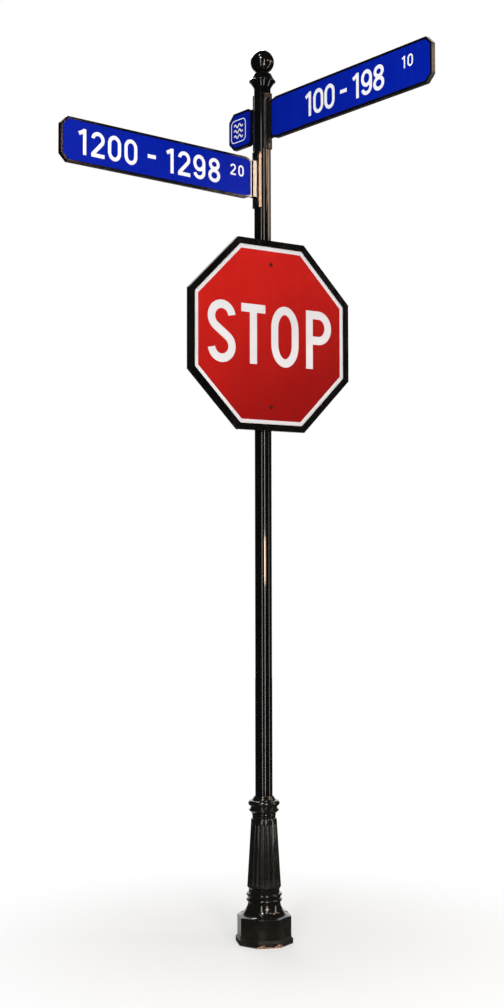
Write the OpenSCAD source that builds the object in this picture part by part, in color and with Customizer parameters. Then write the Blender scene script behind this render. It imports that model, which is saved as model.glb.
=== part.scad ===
// Corner signpost: a stop sign, two street blades and a badge on a round post with a fluted cast base.
// Sizes are millimetres. Z is up, the post's axis is the Z axis and the ground is z = 0.
// The stop sign faces -Y. Each blade arm is drawn along +X and turned into place about the post.

/* [Post] */
// Outside diameter of the post
post_od = 73; // [66:0.5:80]
// Wall of the post
post_wall = 5.2; // [4:0.1:8]
// Height of the post's top above the ground
post_top = 3690; // [3500:5:3900]
// Slip fit of the castings on the post
slip = 0.3; // [0.1:0.05:0.6]

/* [Base plate] */
// Thickness of the base plate
plate_t = 12; // [8:1:20]
// Gap between the plate's rim and the inside of the cast foot
plate_gap = 6; // [3:0.5:12]
// Bolt circle of the anchor holes
anchor_pcd = 140; // [126:1:150]
// Diameter of an anchor hole
anchor_hole_d = 14; // [10:0.5:18]
// Number of anchor holes
anchor_count = 4; // [3:1:6]
// Diameter of the drain hole under the post
drain_d = 30; // [15:1:50]
// Depth of the recess that the post stands in
post_recess = 4; // [2:0.5:6]
// Leg of the weld round the foot of the post
weld_leg = 6; // [3:0.5:8]

/* [Octagonal foot] */
// Foot across its flats
foot_af = 215; // [200:1:240]
// Height of the foot's flat sides
foot_h = 112; // [90:1:150]
// How far the bottom lip stands out from the flats
lip_proud = 7; // [3:0.5:12]
// Height of the bottom lip
lip_h = 20; // [12:1:35]
// Height of the slope from the lip to the flats
lip_slope = 8; // [3:0.5:14]
// Wall of the casting
base_wall = 9; // [6:0.5:11]
// How far the bell's curve runs on past the foot's corners
bell_run = 9; // [4:0.5:20]

/* [Fluted drum] */
// Height of the fluted drum
drum_h = 276; // [200:1:400]
// How much the drum's radius grows from its top to its foot
drum_taper = 16.8; // [10:0.2:24]
// Step from the collar out to the top of the drum
drum_proud = 5.8; // [4:0.2:9]
// Number of flutes
flute_count = 20; // [14:1:26]
// Depth of a flute at the drum's foot
flute_depth = 5; // [3:0.2:7]
// Land left between two flutes at the drum's foot
flute_land = 3.4; // [2:0.1:6]
// Wall left behind a flute
drum_wall = 6; // [4:0.5:8]

/* [Base mouldings] */
// Wall of the collar round the post
collar_wall = 12; // [9:0.5:15]
// Radius of the two beads under the drum
bead_r = 6.4; // [4:0.2:8]
// Distance between the two beads
bead_pitch = 22; // [18:0.5:30]
// Height of the waist between the beads and the drum
waist_h = 33; // [26:1:45]
// Plain height of the collar above the drum
collar_h = 11; // [8:0.5:20]
// Radius of the small bead on the collar
small_bead_r = 4; // [2:0.2:5]
// How far the sharp ring stands out from the collar
ring_proud = 16; // [10:0.5:20]
// Radius of the top torus
torus_r = 12; // [9:0.5:14]
// How far the top torus stands out from the collar
torus_proud = 17.7; // [14:0.2:20]
// Height of the tapered cap above the torus
cap_h = 14; // [8:1:24]

/* [Finial] */
// Diameter of the ball
ball_d = 103; // [85:1:120]
// How far the finial reaches down over the post
skirt_drop = 41; // [30:1:60]
// Radius of the rounded lip of the skirt
skirt_lip_r = 4.5; // [3:0.25:6]
// How far the skirt's lip stands out from the post
skirt_proud = 21; // [14:0.5:28]
// Height of the flare from the lip to the shoulder
flare_h = 28; // [20:1:40]
// Radius of the shoulder
shoulder_r = 41.5; // [34:0.5:46]
// Radius of the neck under the ball
ball_neck_r = 26.4; // [18:0.2:32]
// Height of the neck from the shoulder to the ball
ball_neck_h = 6; // [4:0.5:20]

/* [Set screws] */
// Diameter of the set screws in the collar and in the finial
set_screw_d = 6; // [4:0.5:8]
// Number of set screws in each
set_screw_count = 3; // [2:1:4]

/* [Blade arms] */
// Turn of the three arms about the post, off square to the stop sign
blade_turn = 6; // [-15:0.5:15]
// Distance from the post's top down to the middle of the upper arms
upper_drop = 193; // [170:1:240]
// Gap between the upper and the lower saddles
tier_gap = 14; // [6:1:60]
// Height of a saddle
saddle_h = 242; // [210:1:280]
// Thickness of a saddle
saddle_t = 7.8; // [6:0.2:11]
// Half angle that a saddle hugs of the post
saddle_hug = 43; // [32:1:55]
// Slope of a saddle's flanks, run in for each millimetre out
flank_slope = 0.23; // [0:0.01:0.4]
// Wall behind the slot of a blade holder
slot_web = 1.5; // [1:0.25:4]
// Depth of the slot that takes a blade's root
slot_depth = 18; // [12:0.5:30]
// Thickness of a holder's cheek
cheek_t = 5; // [3:0.5:8]
// Play on each side of a blade in its slot
slot_play = 0.2; // [0.1:0.05:0.5]

/* [Street blades] */
// Length of a street blade from its holder to its tip
blade_len = 952; // [600:1:1200]
// Height of a street blade
blade_h = 178; // [160:1:200]
// Height of a street blade at its root
blade_root_h = 156; // [120:1:158]
// Length of the taper from the root to the full height
blade_taper = 34; // [24:1:80]
// Clipped corners at the tip
blade_clip = 30; // [20:1:55]
// Thickness of a blade
blade_t = 19; // [14:0.5:25]
// Width of the frame's lip round a face
blade_lip = 9; // [4:0.25:12]
// Width of the ledge that a face lies on
blade_ledge = 8; // [4:0.5:14]
// Web in the middle of the frame
blade_web = 4; // [2:0.5:6]
// Thickness of a face sheet
face_t = 2; // [1:0.1:3]
// How far a face lies below the lip
face_recess = 1; // [0.5:0.1:2]
// Gap round a face in its frame
face_gap = 0.3; // [0.1:0.05:0.6]

/* [Badge] */
// Length of the badge from its holder to its tip
badge_len = 157; // [130:1:220]
// Height of the badge
badge_h = 162; // [140:1:190]
// Height of the badge at its root
badge_root_h = 136; // [110:1:138]
// Length of the badge's taper
badge_taper = 22; // [18:1:50]
// Clipped corners of the badge
badge_clip = 32; // [18:1:45]

/* [Stop sign] */
// Height of the sign frame's lower edge above the ground
sign_clearance = 2155; // [1800:1:2300]
// Sign panel across its flats
sign_af = 762; // [600:1:800]
// Thickness of the sign panel
panel_t = 3.2; // [2:0.1:5]
// Distance between the two bolts
bolt_pitch = 609.6; // [400:0.1:620]
// Width of the frame's front
frame_w = 28; // [24:0.5:40]
// How far the frame covers the panel's edge
frame_lap = 2; // [1:0.25:4]
// Depth of the frame
frame_depth = 19; // [15:0.5:30]
// Thickness of the frame's front lip
frame_lip_t = 4; // [2:0.25:6]
// Thickness of the frame's rim
frame_rim_t = 5; // [3:0.5:7]
// Gap between the post and the back of the frame
frame_gap = 12; // [4:0.5:40]
// Width of a mounting seat where it hugs the post
seat_w = 50; // [36:1:58]
// Height of a mounting seat
seat_h = 60; // [40:1:90]
// Width of a mounting seat's foot on the panel
seat_foot_w = 84; // [64:1:110]
// Thickness of a mounting seat's foot
seat_foot_t = 6; // [4:0.5:9]

/* [Panel clips] */
// Width of a clip
clip_w = 22; // [16:1:32]
// Thickness of a clip
clip_t = 3; // [2:0.25:4]
// How far a clip reaches over the panel
clip_lap = 14; // [8:1:24]
// How far a clip reaches over the frame
clip_reach = 17; // [13:0.5:18]

/* [Fasteners] */
// Diameter of the screws that hold the saddles
saddle_screw_d = 8; // [6:0.5:10]
// Distance of those screws from the saddle's ends
saddle_screw_inset = 30; // [20:1:36]
// Diameter of the screws that hold the blades
blade_screw_d = 6; // [4:0.5:8]
// Distance between the two screws of a blade
blade_screw_pitch = 90; // [50:1:100]
// Diameter of the bolts that hold the sign
bolt_d = 8; // [6:0.5:10]
// Diameter of the clip screws
clip_screw_d = 5; // [3:0.5:6]
// Clearance of a bolt or screw in a plain hole
hole_play = 1; // [0.4:0.1:1.5]
// Clearance of a screw in its thread
thread_play = 0.2; // [0.1:0.05:0.3]

/* [Hidden] */
$fn = 96;
GLOSS_BLACK = [0.05, 0.05, 0.055];
SATIN_BLACK = [0.11, 0.11, 0.115];
SIGN_RED = [0.72, 0.07, 0.07];
STREET_BLUE = [0.02, 0.12, 0.62];
ZINC = [0.62, 0.63, 0.65];
STEEL = [0.35, 0.35, 0.36];

// Cuts run past the faces they open by this much
over = 1;
// Joined bodies run into each other by this much
bite = 1.2;

post_r = post_od / 2;
bore_r = post_r + slip;
post_foot_z = plate_t - post_recess;

// Base casting, radii from the collar down and heights from the ground up
foot_r = foot_af / 2;
flat_ratio = cos(180 / 8);
foot_corner_r = foot_r / flat_ratio;
lip_corner_r = (foot_r + lip_proud) / flat_ratio;
foot_inner_r = foot_r - base_wall;
plate_r = foot_inner_r - plate_gap;
collar_r = bore_r + collar_wall;
drum_top_r = collar_r + drum_proud;
drum_foot_r = drum_top_r + drum_taper;
waist_r = drum_foot_r - bead_r;
neck_inset = 2.8;
neck_r = drum_foot_r - neck_inset;
bell_r = foot_corner_r + bell_run - neck_r;
neck_z = foot_h + bell_r;
neck_rise = 3.5;
low_bead_z = neck_z + neck_rise + bead_r;
high_bead_z = low_bead_z + bead_pitch;
drum_z = high_bead_z + waist_h;
drum_bevel = 10;
drum_top_z = drum_z + drum_h;
shoulder_h = 10;
collar_z = drum_top_z + shoulder_h;
small_bead_z = collar_z + collar_h + small_bead_r;
ring_r = collar_r + ring_proud;
ring_foot_z = small_bead_z + small_bead_r;
ring_slope_h = 14;
ring_z = ring_foot_z + ring_slope_h;
groove_proud = 6.9;
groove_r = collar_r + groove_proud;
ring_back_h = 11;
groove_z = ring_z + ring_back_h;
groove_h = 6.5;
torus_z = groove_z + groove_h + torus_r;
cap_step = 4;
cap_z = torus_z + torus_r + cap_step;
cap_edge = 2.3;
base_top = cap_z + cap_h;
base_screw_z = collar_z + collar_h / 2;

// A flute keeps its share of the drum's radius from end to end
flute_half = PI * drum_foot_r / flute_count - flute_land / 2;
flute_r = (flute_half * flute_half + flute_depth * flute_depth) / (2 * flute_depth);
flute_axis_r = drum_foot_r + flute_r - flute_depth;
drum_ratio = drum_top_r / drum_foot_r;
flute_margin = 6;
flute_run = drum_h - 2 * flute_margin;

// Finial
skirt_z = post_top - skirt_drop;
skirt_edge = 1.5;
skirt_rise = 26;
skirt_lip_z = skirt_z + skirt_rise;
skirt_lip_out_r = post_r + skirt_proud;
skirt_lip_mid_r = skirt_lip_out_r - skirt_lip_r;
skirt_lip_in = skirt_lip_r - bite;
shoulder_z = skirt_lip_z + flare_h;
shoulder_round = 4;
neck_foot_z = shoulder_z + 2 * shoulder_round;
ball_r = ball_d / 2;
ball_z = neck_foot_z + ball_neck_h + sqrt(ball_r * ball_r - ball_neck_r * ball_neck_r);
set_screw_turn = 50;
socket_d = 0.58 * set_screw_d;

// Blade arms, drawn along +X
saddle_in_r = post_r + slip;
saddle_out_r = saddle_in_r + saddle_t;
slot_x = saddle_out_r + slot_web;
mouth_x = slot_x + slot_depth;
root_x = slot_x + slot_play;
holder_t = blade_t + 2 * slot_play + 2 * cheek_t;
upper_z = post_top - upper_drop;
lower_z = upper_z - saddle_h - tier_gap;
spot_depth = 1.4;
spot_d = 2 * saddle_screw_d;
spot_x = saddle_out_r - spot_depth;
saddle_screw_z = saddle_h / 2 - saddle_screw_inset;
blade_screw_x = (root_x + mouth_x) / 2;
blade_screw_reach = 0.8 * blade_t;

// Sizes of a plate in an arm: length, height, root height, taper and clipped corner
STREET = [blade_len, blade_h, blade_root_h, blade_taper, blade_clip];
BADGE = [badge_len, badge_h, badge_root_h, badge_taper, badge_clip];

// Place of each arm: turn about the post, height, and the side that its screws go in from
UPPER_ARM = [-90, upper_z, 1];
BADGE_ARM = [90, upper_z, -1];
LOWER_ARM = [180, lower_z, -1];
ARMS = [UPPER_ARM, BADGE_ARM, LOWER_ARM];

// Stop sign, distances forward from the post's axis
frame_af = sign_af + 2 * (frame_w - frame_lap);
sign_z = sign_clearance + frame_af / 2;
frame_back = post_r + frame_gap;
frame_front = frame_back + frame_depth;
panel_front = frame_front - frame_lip_t;
panel_back = panel_front - panel_t;
panel_gap = 0.4;
seat_wrap = 11;
seat_back = post_r - seat_wrap;
bolt_hole_d = bolt_d + hole_play;
washer_t = 1.6;
washer_d = 2 * bolt_d;
nut_h = 0.8 * bolt_d;
nut_corner_d = 1.88 * bolt_d;
seat_washer_t = 4;
seat_washer_d = 3.5 * bolt_d;
bolt_tail = 3;
clip_screw_r = sign_af / 2 + clip_reach / 2;
clip_screw_reach = 0.9 * panel_t;

// Pan heads, in proportion to the screw's diameter
pan_d = 1.75;
pan_side_h = 0.22;
pan_dome_h = 0.38;

// Puts a child that lies along +X on its arm
module on_arm(arm) translate([0, 0, arm[1]]) rotate([0, 0, arm[0] + blade_turn]) children();

// A round bar along +X from one distance to another
module bar_x(d, from, to) translate([from, 0, 0]) rotate([0, 90, 0]) cylinder(d = d, h = to - from);

// A round bar along Y from one place to another
module bar_y(d, from, to) translate([0, from, 0]) rotate([-90, 0, 0]) cylinder(d = d, h = to - from);

// A slab of the sign between two distances forward of the axis
module sign_slab(back, front)
    translate([0, -back, sign_z]) rotate([90, 0, 0]) linear_extrude(front - back) children();

// An octagon with a level top edge
module octagon(af) rotate(180 / 8) circle(r = af / 2 / flat_ratio, $fn = 8);

// The heights of the sign's two bolts
module at_bolt(end) translate([0, 0, sign_z + end * bolt_pitch / 2]) children();
module at_bolts() for (end = [-1, 1]) at_bolt(end) children();

// The middle of each side of the sign, turned to the top
module at_sides() translate([0, 0, sign_z]) for (k = [0 : 7]) rotate([0, 45 * k, 0]) children();

// A pan head screw along X: its head's seat at x = 0, its dome to +X and its shank to -X
module pan_screw_x(d, shank) {
    dome = [for (a = [0 : 20 : 60])
        [d * pan_d / 2 * cos(a), d * (pan_side_h + pan_dome_h * sin(a))]];
    rotate([0, 90, 0]) rotate_extrude() polygon(concat(
        [[0, -shank], [d / 2, -shank], [d / 2, 0], [d * pan_d / 2, 0]], dome, [[0, dome[3].y]]));
}

// Base plate: a round flange with anchor holes and a recess for the post
module base_plate() color(STEEL) difference() {
    cylinder(r = plate_r, h = plate_t);
    translate([0, 0, post_foot_z]) cylinder(r = post_r + slip, h = plate_t);
    translate([0, 0, -over]) cylinder(d = drain_d, h = plate_t);
    for (k = [0 : anchor_count - 1]) rotate([0, 0, 45 + 360 / anchor_count * k])
        translate([anchor_pcd / 2, 0, -over]) cylinder(d = anchor_hole_d, h = plate_t + 2 * over);
}

// Fillet weld between the base plate and the post
module post_weld() color(STEEL) rotate_extrude() polygon([
    [bore_r, plate_t], [bore_r + weld_leg, plate_t], [bore_r, plate_t + weld_leg]]);

// Foot and bell in section; the inset moves the bell's curve into the metal
module bell_section(inset) difference() {
    square([neck_r + bell_r, neck_z]);
    translate([neck_r + bell_r, neck_z]) circle(bell_r + inset);
}

// Column of the base in section: neck, waist, drum, collar, sharp ring and cap
module column_section() {
    drum_shoulder = [for (a = [0 : 30 : 90])
        [collar_r + drum_proud * cos(a), drum_top_z + shoulder_h * sin(a)]];
    polygon(concat(
        [[0, neck_z - over], [neck_r, neck_z - over], [neck_r, high_bead_z],
            [waist_r, high_bead_z + bead_r], [waist_r, drum_z - drum_bevel], [drum_foot_r, drum_z]],
        drum_shoulder,
        [[collar_r, ring_foot_z], [ring_r, ring_z], [groove_r, groove_z], [groove_r, torus_z],
            [collar_r, torus_z], [collar_r, cap_z], [bore_r + cap_edge, base_top], [0, base_top]]));
}

// A round moulding in section
module bead_section(r, z, radius) translate([r, z]) circle(radius);

// One flute: a spindle that thins with the drum and is rounded at both ends
module flute() {
    top_r = flute_r * drum_ratio;
    steps = 3;
    lean = atan((flute_axis_r - flute_axis_r * drum_ratio) / drum_h);
    foot = [for (i = [0 : steps]) let (a = 90 * i / steps) [flute_r * sin(a), flute_r * (1 - cos(a))]];
    head = [for (i = [0 : steps]) let (a = 90 * i / steps)
        [top_r * cos(a), flute_run - top_r + top_r * sin(a)]];
    translate([flute_axis_r - flute_margin * tan(lean), 0, drum_z + flute_margin])
        rotate([0, -lean, 0]) rotate_extrude() polygon(concat(foot, head));
}

// Inside of the base casting: a round foot, a hollow column and the bore for the post
module base_cavity() {
    intersection() {
        translate([0, 0, -over]) cylinder(r = foot_inner_r, h = neck_z + over);
        union() {
            rotate_extrude() bell_section(base_wall);
            translate([0, 0, -over]) cylinder(r = foot_inner_r, h = foot_h - base_wall + over);
        }
    }
    rotate_extrude() polygon([
        [0, neck_z - over], [neck_r - base_wall, neck_z - over], [neck_r - base_wall, drum_z - drum_bevel],
        [drum_foot_r - flute_depth - drum_wall, drum_z],
        [drum_top_r - flute_depth * drum_ratio - drum_wall, drum_top_z - shoulder_h],
        [bore_r, drum_top_z], [bore_r, base_top + over], [0, base_top + over]]);
}

// Base casting: an octagonal foot that sweeps up in a bell to a fluted, tapered drum and a moulded collar
module base_casting() color(GLOSS_BLACK) difference() {
    union() {
        intersection() {
            cylinder(r = foot_corner_r, h = neck_z, $fn = 8);
            rotate_extrude() bell_section(0);
        }
        cylinder(r = lip_corner_r, h = lip_h, $fn = 8);
        translate([0, 0, lip_h]) cylinder(r1 = lip_corner_r, r2 = foot_corner_r, h = lip_slope, $fn = 8);
        difference() {
            rotate_extrude() union() {
                column_section();
                bead_section(neck_r, low_bead_z, bead_r);
                bead_section(neck_r, high_bead_z, bead_r);
                bead_section(collar_r - small_bead_r / 3, small_bead_z, small_bead_r);
                bead_section(collar_r + torus_proud - torus_r, torus_z, torus_r);
            }
            for (k = [0 : flute_count - 1]) rotate([0, 0, 360 / flute_count * k]) flute();
        }
    }
    base_cavity();
    translate([0, 0, base_screw_z]) set_screw_ring() bar_x(set_screw_d + thread_play, 0, drum_foot_r);
}

// Even places for set screws about the post
module set_screw_ring() for (k = [0 : set_screw_count - 1])
    rotate([0, 0, set_screw_turn + 360 / set_screw_count * k]) children();

// A headless set screw on the post, sunk below the outside radius, with its socket
module set_screw(outside_r) difference() {
    bar_x(set_screw_d, post_r, outside_r - over);
    translate([outside_r - over - set_screw_d / 2, 0, 0]) rotate([0, 90, 0])
        cylinder(d = socket_d, h = set_screw_d, $fn = 6);
}

// Set screws that hold the base casting to the post
module base_set_screws() color(STEEL)
    translate([0, 0, base_screw_z]) set_screw_ring() set_screw(collar_r);

// Post: a round steel tube, drilled for the sign's bolts and tapped for the saddles' screws
module post_tube() color(GLOSS_BLACK) difference() {
    translate([0, 0, post_foot_z]) cylinder(r = post_r, h = post_top - post_foot_z);
    translate([0, 0, post_foot_z - over])
        cylinder(r = post_r - post_wall, h = post_top - post_foot_z + 2 * over);
    at_bolts() bar_y(bolt_hole_d, -post_r - over, post_r + over);
    at_saddle_screws() bar_x(saddle_screw_d + thread_play, 0, post_r + over);
}

// Finial: a cast ball on a necked shoulder, with a flared skirt that slips over the post
module finial() color(GLOSS_BLACK) difference() {
    shoulder = [for (a = [0 : 30 : 90])
        [shoulder_r + shoulder_round * (cos(a) - 1), shoulder_z + shoulder_round * sin(a)]];
    union() {
        translate([0, 0, ball_z]) sphere(ball_r);
        rotate_extrude() union() {
            polygon(concat(
                [[0, skirt_z], [bore_r + skirt_edge, skirt_z],
                    [skirt_lip_mid_r, skirt_lip_z - skirt_lip_in],
                    [skirt_lip_mid_r + skirt_lip_in * cos(30), skirt_lip_z + skirt_lip_in * sin(30)]],
                shoulder,
                [[ball_neck_r, neck_foot_z], [ball_neck_r, ball_z], [0, ball_z]]));
            bead_section(skirt_lip_mid_r, skirt_lip_z, skirt_lip_r);
        }
    }
    translate([0, 0, skirt_z - over]) cylinder(r = bore_r, h = skirt_drop + over);
    translate([0, 0, skirt_lip_z])
        set_screw_ring() bar_x(set_screw_d + thread_play, 0, skirt_lip_out_r + over);
}

// Set screws that hold the finial to the post
module finial_set_screws() color(STEEL)
    translate([0, 0, skirt_lip_z]) set_screw_ring() set_screw(skirt_lip_out_r);

// Saddle in plan: a shell that hugs the post, with flanks that lean in
module saddle_plan() intersection() {
    difference() {
        circle(saddle_out_r);
        circle(saddle_in_r);
    }
    hug_x = saddle_in_r * cos(saddle_hug);
    hug_y = saddle_in_r * sin(saddle_hug);
    far_y = hug_y - flank_slope * (saddle_out_r - hug_x);
    polygon([[hug_x, -hug_y], [saddle_out_r, -far_y], [saddle_out_r, far_y], [hug_x, hug_y]]);
}

// Saddle: a casting screwed to the post, with two cheeks that hold the root of a plate
module saddle(plate, side) color(SATIN_BLACK) difference() {
    root_h = plate[2];
    union() {
        translate([0, 0, -saddle_h / 2]) linear_extrude(saddle_h) saddle_plan();
        translate([saddle_in_r + bite, -holder_t / 2, -root_h / 2])
            cube([mouth_x - saddle_in_r - bite, holder_t, root_h]);
    }
    translate([slot_x, -blade_t / 2 - slot_play, -root_h / 2 - over])
        cube([slot_depth + over, blade_t + 2 * slot_play, root_h + 2 * over]);
    for (end = [-1, 1]) translate([0, 0, end * saddle_screw_z]) {
        bar_x(saddle_screw_d + hole_play, 0, saddle_out_r + over);
        bar_x(spot_d, spot_x, saddle_out_r + over);
    }
    at_blade_screws()
        bar_y(blade_screw_d + hole_play, side > 0 ? 0 : -holder_t, side > 0 ? holder_t : 0);
}

// The two screws of a saddle in every arm
module at_saddle_screws() for (arm = ARMS, end = [-1, 1])
    on_arm(arm) translate([0, 0, end * saddle_screw_z]) children();

// The two screws of a blade, on its arm
module at_blade_screws() for (end = [-1, 1])
    translate([blade_screw_x, 0, end * blade_screw_pitch / 2]) children();

// Saddle of the upper street blade
module upper_saddle() on_arm(UPPER_ARM) saddle(STREET, UPPER_ARM[2]);

// Saddle of the badge, behind the post at the same height
module badge_saddle() on_arm(BADGE_ARM) saddle(BADGE, BADGE_ARM[2]);

// Saddle of the lower street blade
module lower_saddle() on_arm(LOWER_ARM) saddle(STREET, LOWER_ARM[2]);

// Pan head screws that hold the saddles to the post
module saddle_screws() color(STEEL) at_saddle_screws() translate([spot_x, 0, 0])
    pan_screw_x(saddle_screw_d, spot_x - post_r + post_wall);

// Outline of a plate beyond its holder, drawn in by an inset on every side
function plate_outline(plate, inset) = let (
    rise = (plate[1] - plate[2]) / 2 / plate[3],
    slant = sqrt(1 + rise * rise),
    root = mouth_x + inset,
    root_z = plate[2] / 2 + rise * inset - inset * slant,
    shoulder = mouth_x + plate[3] + inset * (slant - 1) / rise,
    top = plate[1] / 2 - inset,
    clip = plate[4] - inset * (2 - sqrt(2)),
    tip = mouth_x + plate[0] - inset
) [[root, -root_z], [shoulder, -top], [tip - clip, -top], [tip, clip - top],
    [tip, top - clip], [tip - clip, top], [shoulder, top], [root, root_z]];

// A plate of that outline between two places across the arm
module plate_slab(plate, inset, from, to)
    translate([0, to, 0]) rotate([90, 0, 0]) linear_extrude(to - from) polygon(plate_outline(plate, inset));

// Blade frame: a lipped frame round a web, with a ledge for a face on each side and a root for the holder
module blade_frame(plate) color(GLOSS_BLACK) difference() {
    ledge_y = blade_t / 2 - face_t - face_recess;
    union() {
        plate_slab(plate, 0, -blade_t / 2, blade_t / 2);
        translate([root_x, -blade_t / 2, -plate[2] / 2])
            cube([mouth_x - root_x + bite, blade_t, plate[2]]);
    }
    for (side = [-1, 1]) {
        near = side > 0 ? ledge_y : -blade_t;
        deep = side > 0 ? blade_web / 2 : -ledge_y - over;
        plate_slab(plate, blade_lip, near, near + blade_t - ledge_y);
        plate_slab(plate, blade_lip + blade_ledge, deep, deep + ledge_y - blade_web / 2 + over);
    }
    at_blade_screws() bar_y(blade_screw_d + thread_play, -blade_t, blade_t);
}

// Face sheet on one side of a blade frame
module blade_face(plate, side) color(STREET_BLUE) {
    outside = blade_t / 2 - face_recess;
    from = side > 0 ? outside - face_t : -outside;
    plate_slab(plate, blade_lip + face_gap, from, from + face_t);
}

// Upper street blade
module upper_blade_frame() on_arm(UPPER_ARM) blade_frame(STREET);
module upper_blade_left_face() on_arm(UPPER_ARM) blade_face(STREET, -1);
module upper_blade_right_face() on_arm(UPPER_ARM) blade_face(STREET, 1);

// Lower street blade
module lower_blade_frame() on_arm(LOWER_ARM) blade_frame(STREET);
module lower_blade_front_face() on_arm(LOWER_ARM) blade_face(STREET, 1);
module lower_blade_back_face() on_arm(LOWER_ARM) blade_face(STREET, -1);

// Badge
module badge_frame() on_arm(BADGE_ARM) blade_frame(BADGE);
module badge_left_face() on_arm(BADGE_ARM) blade_face(BADGE, 1);
module badge_right_face() on_arm(BADGE_ARM) blade_face(BADGE, -1);

// Pan head screws through the far cheek of each holder into the blade's root
module blade_screws() color(STEEL) for (arm = ARMS) on_arm(arm) at_blade_screws()
    rotate([0, 0, 90 * arm[2]]) translate([holder_t / 2, 0, 0])
        pan_screw_x(blade_screw_d, cheek_t + blade_screw_reach);

// Sign frame: an octagon of angle section, with a rebate for the panel behind its front lip
module sign_frame() color(GLOSS_BLACK) difference() {
    sign_slab(frame_back, frame_front) octagon(frame_af);
    sign_slab(frame_back - over, panel_back) octagon(frame_af - 2 * frame_rim_t);
    sign_slab(panel_back - over, panel_front) octagon(sign_af + 2 * panel_gap);
    sign_slab(panel_back - over, frame_front + over) octagon(sign_af - 2 * frame_lap);
    at_sides() translate([0, 0, clip_screw_r])
        bar_y(clip_screw_d + thread_play, -panel_front, -panel_back + over);
}

// Sign panel: a flat aluminium octagon with two bolt holes
module sign_panel() color(SIGN_RED) difference() {
    sign_slab(panel_back, panel_front) octagon(sign_af);
    at_bolts() bar_y(bolt_hole_d, -panel_front - over, -panel_back + over);
}

// Clips behind the panel, one to each side of the frame
module panel_clips() color(ZINC) at_sides() difference() {
    translate([-clip_w / 2, -panel_back, sign_af / 2 - clip_lap])
        cube([clip_w, clip_t, clip_lap + clip_reach]);
    translate([0, 0, clip_screw_r])
        bar_y(clip_screw_d + hole_play, -panel_back - over, -panel_back + clip_t + over);
}

// Screws of the clips
module clip_screws() color(ZINC) at_sides() translate([0, clip_t - panel_back, clip_screw_r])
    rotate([0, 0, 90]) pan_screw_x(clip_screw_d, clip_t + clip_screw_reach);

// Mounting seat: a casting that hugs the post and carries the panel on a flat foot
module sign_seat() color(SATIN_BLACK) difference() {
    union() {
        translate([-seat_w / 2, -panel_back, -seat_h / 2])
            cube([seat_w, panel_back - seat_back, seat_h]);
        translate([-seat_foot_w / 2, -panel_back, -seat_h / 2])
            cube([seat_foot_w, seat_foot_t, seat_h]);
    }
    translate([0, 0, -seat_h]) cylinder(r = saddle_in_r, h = 2 * seat_h);
    bar_y(bolt_hole_d, -panel_back - over, 0);
}
module upper_sign_seat() at_bolt(1) sign_seat();
module lower_sign_seat() at_bolt(-1) sign_seat();

// Bolts through the panel, the seats and the post
module sign_bolts() color(ZINC) at_bolts() translate([0, -panel_front - washer_t, 0])
    rotate([0, 0, -90])
        pan_screw_x(bolt_d, panel_front + washer_t + post_r + seat_washer_t + nut_h + bolt_tail);

// Flat washers under the bolts' heads
module sign_washers() color(ZINC) at_bolts() difference() {
    bar_y(washer_d, -panel_front - washer_t, -panel_front);
    bar_y(bolt_hole_d, -panel_front - washer_t - over, -panel_front + over);
}

// Washers behind the post, hollowed to sit on it
module seat_washers() color(ZINC) at_bolts() difference() {
    bar_y(seat_washer_d, post_r - seat_washer_t, post_r + seat_washer_t);
    translate([0, 0, -seat_washer_d]) cylinder(r = saddle_in_r, h = 2 * seat_washer_d);
    bar_y(bolt_hole_d, 0, post_r + seat_washer_t + over);
}

// Nuts on the bolts behind the post
module sign_nuts() color(ZINC) at_bolts() difference() {
    translate([0, post_r + seat_washer_t, 0])
        rotate([-90, 0, 0]) cylinder(d = nut_corner_d, h = nut_h, $fn = 6);
    bar_y(bolt_d + thread_play, post_r, post_r + seat_washer_t + nut_h + over);
}

base_plate();
post_weld();
base_casting();
base_set_screws();
post_tube();
finial();
finial_set_screws();
upper_saddle();
badge_saddle();
lower_saddle();
saddle_screws();
upper_blade_frame();
upper_blade_left_face();
upper_blade_right_face();
lower_blade_frame();
lower_blade_front_face();
lower_blade_back_face();
badge_frame();
badge_left_face();
badge_right_face();
blade_screws();
sign_frame();
sign_panel();
panel_clips();
clip_screws();
upper_sign_seat();
lower_sign_seat();
sign_bolts();
sign_washers();
seat_washers();
sign_nuts();
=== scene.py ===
"""Corner signpost: the looks of a stop sign, two street blades and a badge on a post with a cast base."""

import bmesh
import bpy
import numpy as np
from mathutils import Matrix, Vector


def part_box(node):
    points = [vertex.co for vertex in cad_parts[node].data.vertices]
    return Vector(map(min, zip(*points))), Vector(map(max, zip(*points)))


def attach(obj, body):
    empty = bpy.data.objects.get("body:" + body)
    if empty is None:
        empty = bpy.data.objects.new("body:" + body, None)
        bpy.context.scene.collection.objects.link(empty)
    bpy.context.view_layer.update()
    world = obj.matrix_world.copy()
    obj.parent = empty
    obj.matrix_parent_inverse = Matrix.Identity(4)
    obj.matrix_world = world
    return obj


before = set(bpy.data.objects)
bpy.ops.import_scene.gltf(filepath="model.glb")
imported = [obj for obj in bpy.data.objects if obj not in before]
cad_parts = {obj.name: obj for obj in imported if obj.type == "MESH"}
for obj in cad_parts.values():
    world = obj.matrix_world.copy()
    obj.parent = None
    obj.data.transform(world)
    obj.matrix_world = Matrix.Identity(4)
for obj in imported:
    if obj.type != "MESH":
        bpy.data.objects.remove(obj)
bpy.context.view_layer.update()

# Base plate and weld. The plate is a round flange of hot-rolled steel that the anchor bolts hold down,
# and a fillet weld joins the post to it. Both are brushed with a grey zinc primer and sit in the cast foot.


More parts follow.
